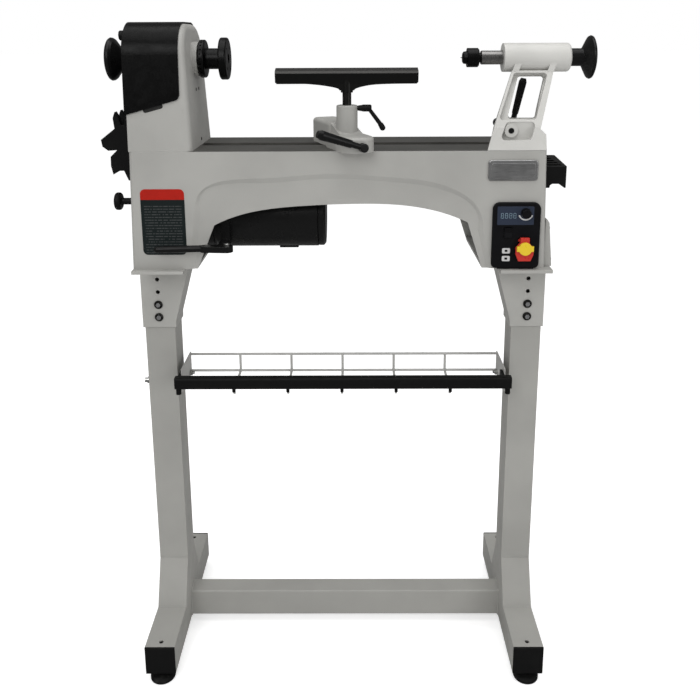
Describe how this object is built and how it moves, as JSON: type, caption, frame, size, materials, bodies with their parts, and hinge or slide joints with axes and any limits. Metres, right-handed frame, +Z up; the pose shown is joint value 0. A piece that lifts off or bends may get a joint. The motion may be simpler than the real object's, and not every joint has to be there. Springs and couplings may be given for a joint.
{
  "type": "wood lathe",
  "caption": "Wood lathe on a height-adjustable stand, with belt-driven headstock, swivelling tool rest, sliding tailstock with live centre, speed controls and tool shelf.",
  "frame": {"origin": "on the floor, under the centre of the overall length and depth", "axes": "+X from the headstock towards the tailstock, along the spindle axis; +Y away from the operator; +Z up"},
  "size_m": [0.897, 0.373, 1.2587],
  "materials": {
    "cast_paint": "satin",
    "stand_paint": "satin",
    "black_plastic": "matte",
    "black_paint": "satin",
    "dark_steel": "satin",
    "bright_steel": "brushed",
    "zinc": "polished",
    "wire_grey": "satin",
    "silver_plate": "satin",
    "pulley_alloy": "turned",
    "belt_rubber": "matte",
    "pad_rubber": "matte",
    "red_plastic": "gloss",
    "yellow_plastic": "gloss"
  },
  "bodies": {
    "stand": {"left_leg": "stand_paint", "right_leg": "stand_paint", "cross_beam": "stand_paint", "foot_end_caps": "black_plastic", "shelf_tray": "wire_grey", "shelf_front_bar": "black_plastic", "shelf_bolts": "zinc"},
    "foot_front_left": {"levelling_foot_front_left": "pad_rubber"},
    "foot_front_right": {"levelling_foot_front_right": "pad_rubber"},
    "foot_rear_left": {"levelling_foot_rear_left": "pad_rubber"},
    "foot_rear_right": {"levelling_foot_rear_right": "pad_rubber"},
    "lathe_bed": {"left_top_bracket": "stand_paint", "right_top_bracket": "stand_paint", "bracket_bolts": "zinc", "bed_mount_bolts": "zinc", "bed_casting": "cast_paint", "headstock_casting": "cast_paint", "headstock_end_panel": "black_plastic", "spindle_bearings": "bright_steel", "cover_hinge": "black_paint", "motor_pivot_pin": "bright_steel", "drive_belt": "belt_rubber", "left_tool_holder": "black_plastic", "right_tool_holder": "black_plastic", "controller_box": "cast_paint", "nameplate": "silver_plate", "control_panel": "black_plastic"},
    "cover": {"belt_cover": "black_plastic"},
    "cover_latch": {"cover_latch_knob": "black_plastic"},
    "spindle_line": {"spindle": "bright_steel", "spindle_pulley": "pulley_alloy", "index_ring": "dark_steel", "faceplate": "dark_steel", "outboard_handwheel": "black_paint"},
    "motor": {"motor_housing": "black_paint", "motor_end_bell": "black_paint", "motor_mount_plate": "black_paint", "tension_lever": "black_paint"},
    "motor_rotor": {"motor_shaft": "bright_steel", "motor_pulley": "pulley_alloy"},
    "motor_lock": {"motor_lock_knob": "black_plastic"},
    "speed_dial": {"speed_knob": "black_plastic"},
    "rocker": {"direction_rocker": "black_plastic"},
    "paddle": {"power_paddle": "red_plastic"},
    "key": {"safety_key": "yellow_plastic"},
    "banjo_saddle": {"banjo_clamp_plate": "dark_steel"},
    "banjo_pivot": {"banjo_eye_bolt": "bright_steel"},
    "banjo": {"banjo_casting": "cast_paint"},
    "banjo_lever": {"banjo_cam_lever": "black_paint"},
    "rest_post": {"tool_rest_post": "dark_steel"},
    "rest_blade": {"tool_rest_blade": "dark_steel"},
    "rest_lock": {"tool_rest_lock_lever": "black_plastic"},
    "tailstock": {"tailstock_casting": "cast_paint", "tailstock_clamp": "dark_steel"},
    "tail_lever": {"tailstock_cam_lever": "black_paint"},
    "tail_wheel": {"tailstock_handwheel": "black_paint", "quill_screw": "bright_steel"},
    "tail_quill": {"quill": "bright_steel", "live_centre_body": "dark_steel"},
    "centre_nose": {"live_centre_nose": "dark_steel"}
  },
  "joints": [
    {"name": "levelling_front_left", "type": "slide", "parent": "stand", "child": "foot_front_left", "axis": [0, 0, 1], "range_m": [-0.012, 0.0015]},
    {"name": "levelling_front_right", "type": "slide", "parent": "stand", "child": "foot_front_right", "axis": [0, 0, 1], "range_m": [-0.012, 0.0015]},
    {"name": "levelling_rear_left", "type": "slide", "parent": "stand", "child": "foot_rear_left", "axis": [0, 0, 1], "range_m": [-0.012, 0.0015]},
    {"name": "levelling_rear_right", "type": "slide", "parent": "stand", "child": "foot_rear_right", "axis": [0, 0, 1], "range_m": [-0.012, 0.0015]},
    {"name": "height_slide", "type": "slide", "parent": "stand", "child": "lathe_bed", "axis": [0, 0, 1], "range_m": [-0.0508, 0]},
    {"name": "cover_hinge_turn", "type": "hinge", "parent": "lathe_bed", "child": "cover", "pos_m": [-0.348, 0.099, 1.186], "axis": [-1, 0, 0], "range_deg": [0, 100]},
    {"name": "cover_latch_turn", "type": "hinge", "parent": "cover", "child": "cover_latch", "pos_m": [-0.4, -0.058, 1.2353], "axis": [1, 0, 0], "range_deg": [0, 90]},
    {"name": "spindle_spin", "type": "hinge", "parent": "lathe_bed", "child": "spindle_line", "pos_m": [-0.35, 0, 1.19275], "axis": [1, 0, 0], "continuous": true},
    {"name": "motor_tilt", "type": "hinge", "parent": "lathe_bed", "child": "motor", "pos_m": [-0.264, 0.062, 0.992], "axis": [-1, 0, 0], "range_deg": [0, 8], "deforming": ["drive_belt"]},
    {"name": "motor_spin", "type": "hinge", "parent": "motor", "child": "motor_rotor", "pos_m": [-0.2, 0, 0.899], "axis": [1, 0, 0], "continuous": true},
    {"name": "motor_lock_turn", "type": "hinge", "parent": "lathe_bed", "child": "motor_lock", "pos_m": [-0.42, -0.06, 0.937], "axis": [1, 0, 0], "range_deg": [-180, 180]},
    {"name": "speed_dial_turn", "type": "hinge", "parent": "lathe_bed", "child": "speed_dial", "pos_m": [0.3132, -0.106, 0.9226], "axis": [0, 1, 0], "range_deg": [0, 300]},
    {"name": "rocker_tip", "type": "hinge", "parent": "lathe_bed", "child": "rocker", "pos_m": [0.283, -0.1024, 0.8865], "axis": [1, 0, 0], "range_deg": [-8, 8]},
    {"name": "paddle_tip", "type": "hinge", "parent": "lathe_bed", "child": "paddle", "pos_m": [0.3124, -0.1035, 0.871], "axis": [1, 0, 0], "range_deg": [-12, 0]},
    {"name": "key_pull", "type": "slide", "parent": "paddle", "child": "key", "axis": [0, -1, 0], "range_m": [0, 0.03]},
    {"name": "banjo_slide", "type": "slide", "parent": "lathe_bed", "child": "banjo_saddle", "axis": [1, 0, 0], "range_m": [-0.14, 0.09]},
    {"name": "banjo_swivel", "type": "hinge", "parent": "banjo_saddle", "child": "banjo_pivot", "pos_m": [-0.03, 0, 1.045], "axis": [0, 0, 1], "range_deg": [-30, 30]},
    {"name": "banjo_cross_slide", "type": "slide", "parent": "banjo_pivot", "child": "banjo", "axis": [-0.361, 0.9326, 0], "range_m": [-0.035, 0]},
    {"name": "banjo_lever_turn", "type": "hinge", "parent": "banjo", "child": "banjo_lever", "pos_m": [-0.006, -0.062, 1.045], "axis": [-0.361, 0.9326, 0], "range_deg": [-70, 0]},
    {"name": "rest_height", "type": "slide", "parent": "banjo", "child": "rest_post", "axis": [0, 0, 1], "range_m": [-0.022, 0.03]},
    {"name": "rest_swivel", "type": "hinge", "parent": "rest_post", "child": "rest_blade", "pos_m": [-0.006, -0.062, 1.15], "axis": [0, 0, 1], "range_deg": [-90, 90]},
    {"name": "rest_lock_turn", "type": "hinge", "parent": "banjo", "child": "rest_lock", "pos_m": [0.02, -0.062, 1.1065], "axis": [1, 0, 0], "range_deg": [-100, 100]},
    {"name": "tailstock_slide", "type": "slide", "parent": "lathe_bed", "child": "tailstock", "axis": [1, 0, 0], "range_m": [-0.06, 0]},
    {"name": "tailstock_lever_turn", "type": "hinge", "parent": "tailstock", "child": "tail_lever", "pos_m": [0.286, 0, 1.067], "axis": [0, 1, 0], "range_deg": [-20, 22]},
    {"name": "tail_wheel_turn", "type": "hinge", "parent": "tailstock", "child": "tail_wheel", "pos_m": [0.42, 0, 1.19275], "axis": [1, 0, 0], "range_deg": [0, 7200]},
    {"name": "quill_feed", "type": "slide", "parent": "tailstock", "child": "tail_quill", "axis": [-1, 0, 0], "range_m": [0, 0.0509]},
    {"name": "centre_spin", "type": "hinge", "parent": "tail_quill", "child": "centre_nose", "pos_m": [0.22, 0, 1.19275], "axis": [1, 0, 0], "continuous": true}
  ],
  "couplings": [
    {"joint": "motor_spin", "follows": "spindle_spin", "ratio": 1.5},
    {"joint": "quill_feed", "follows": "tail_wheel_turn", "m_per_rad": 0.00040425}
  ]
}
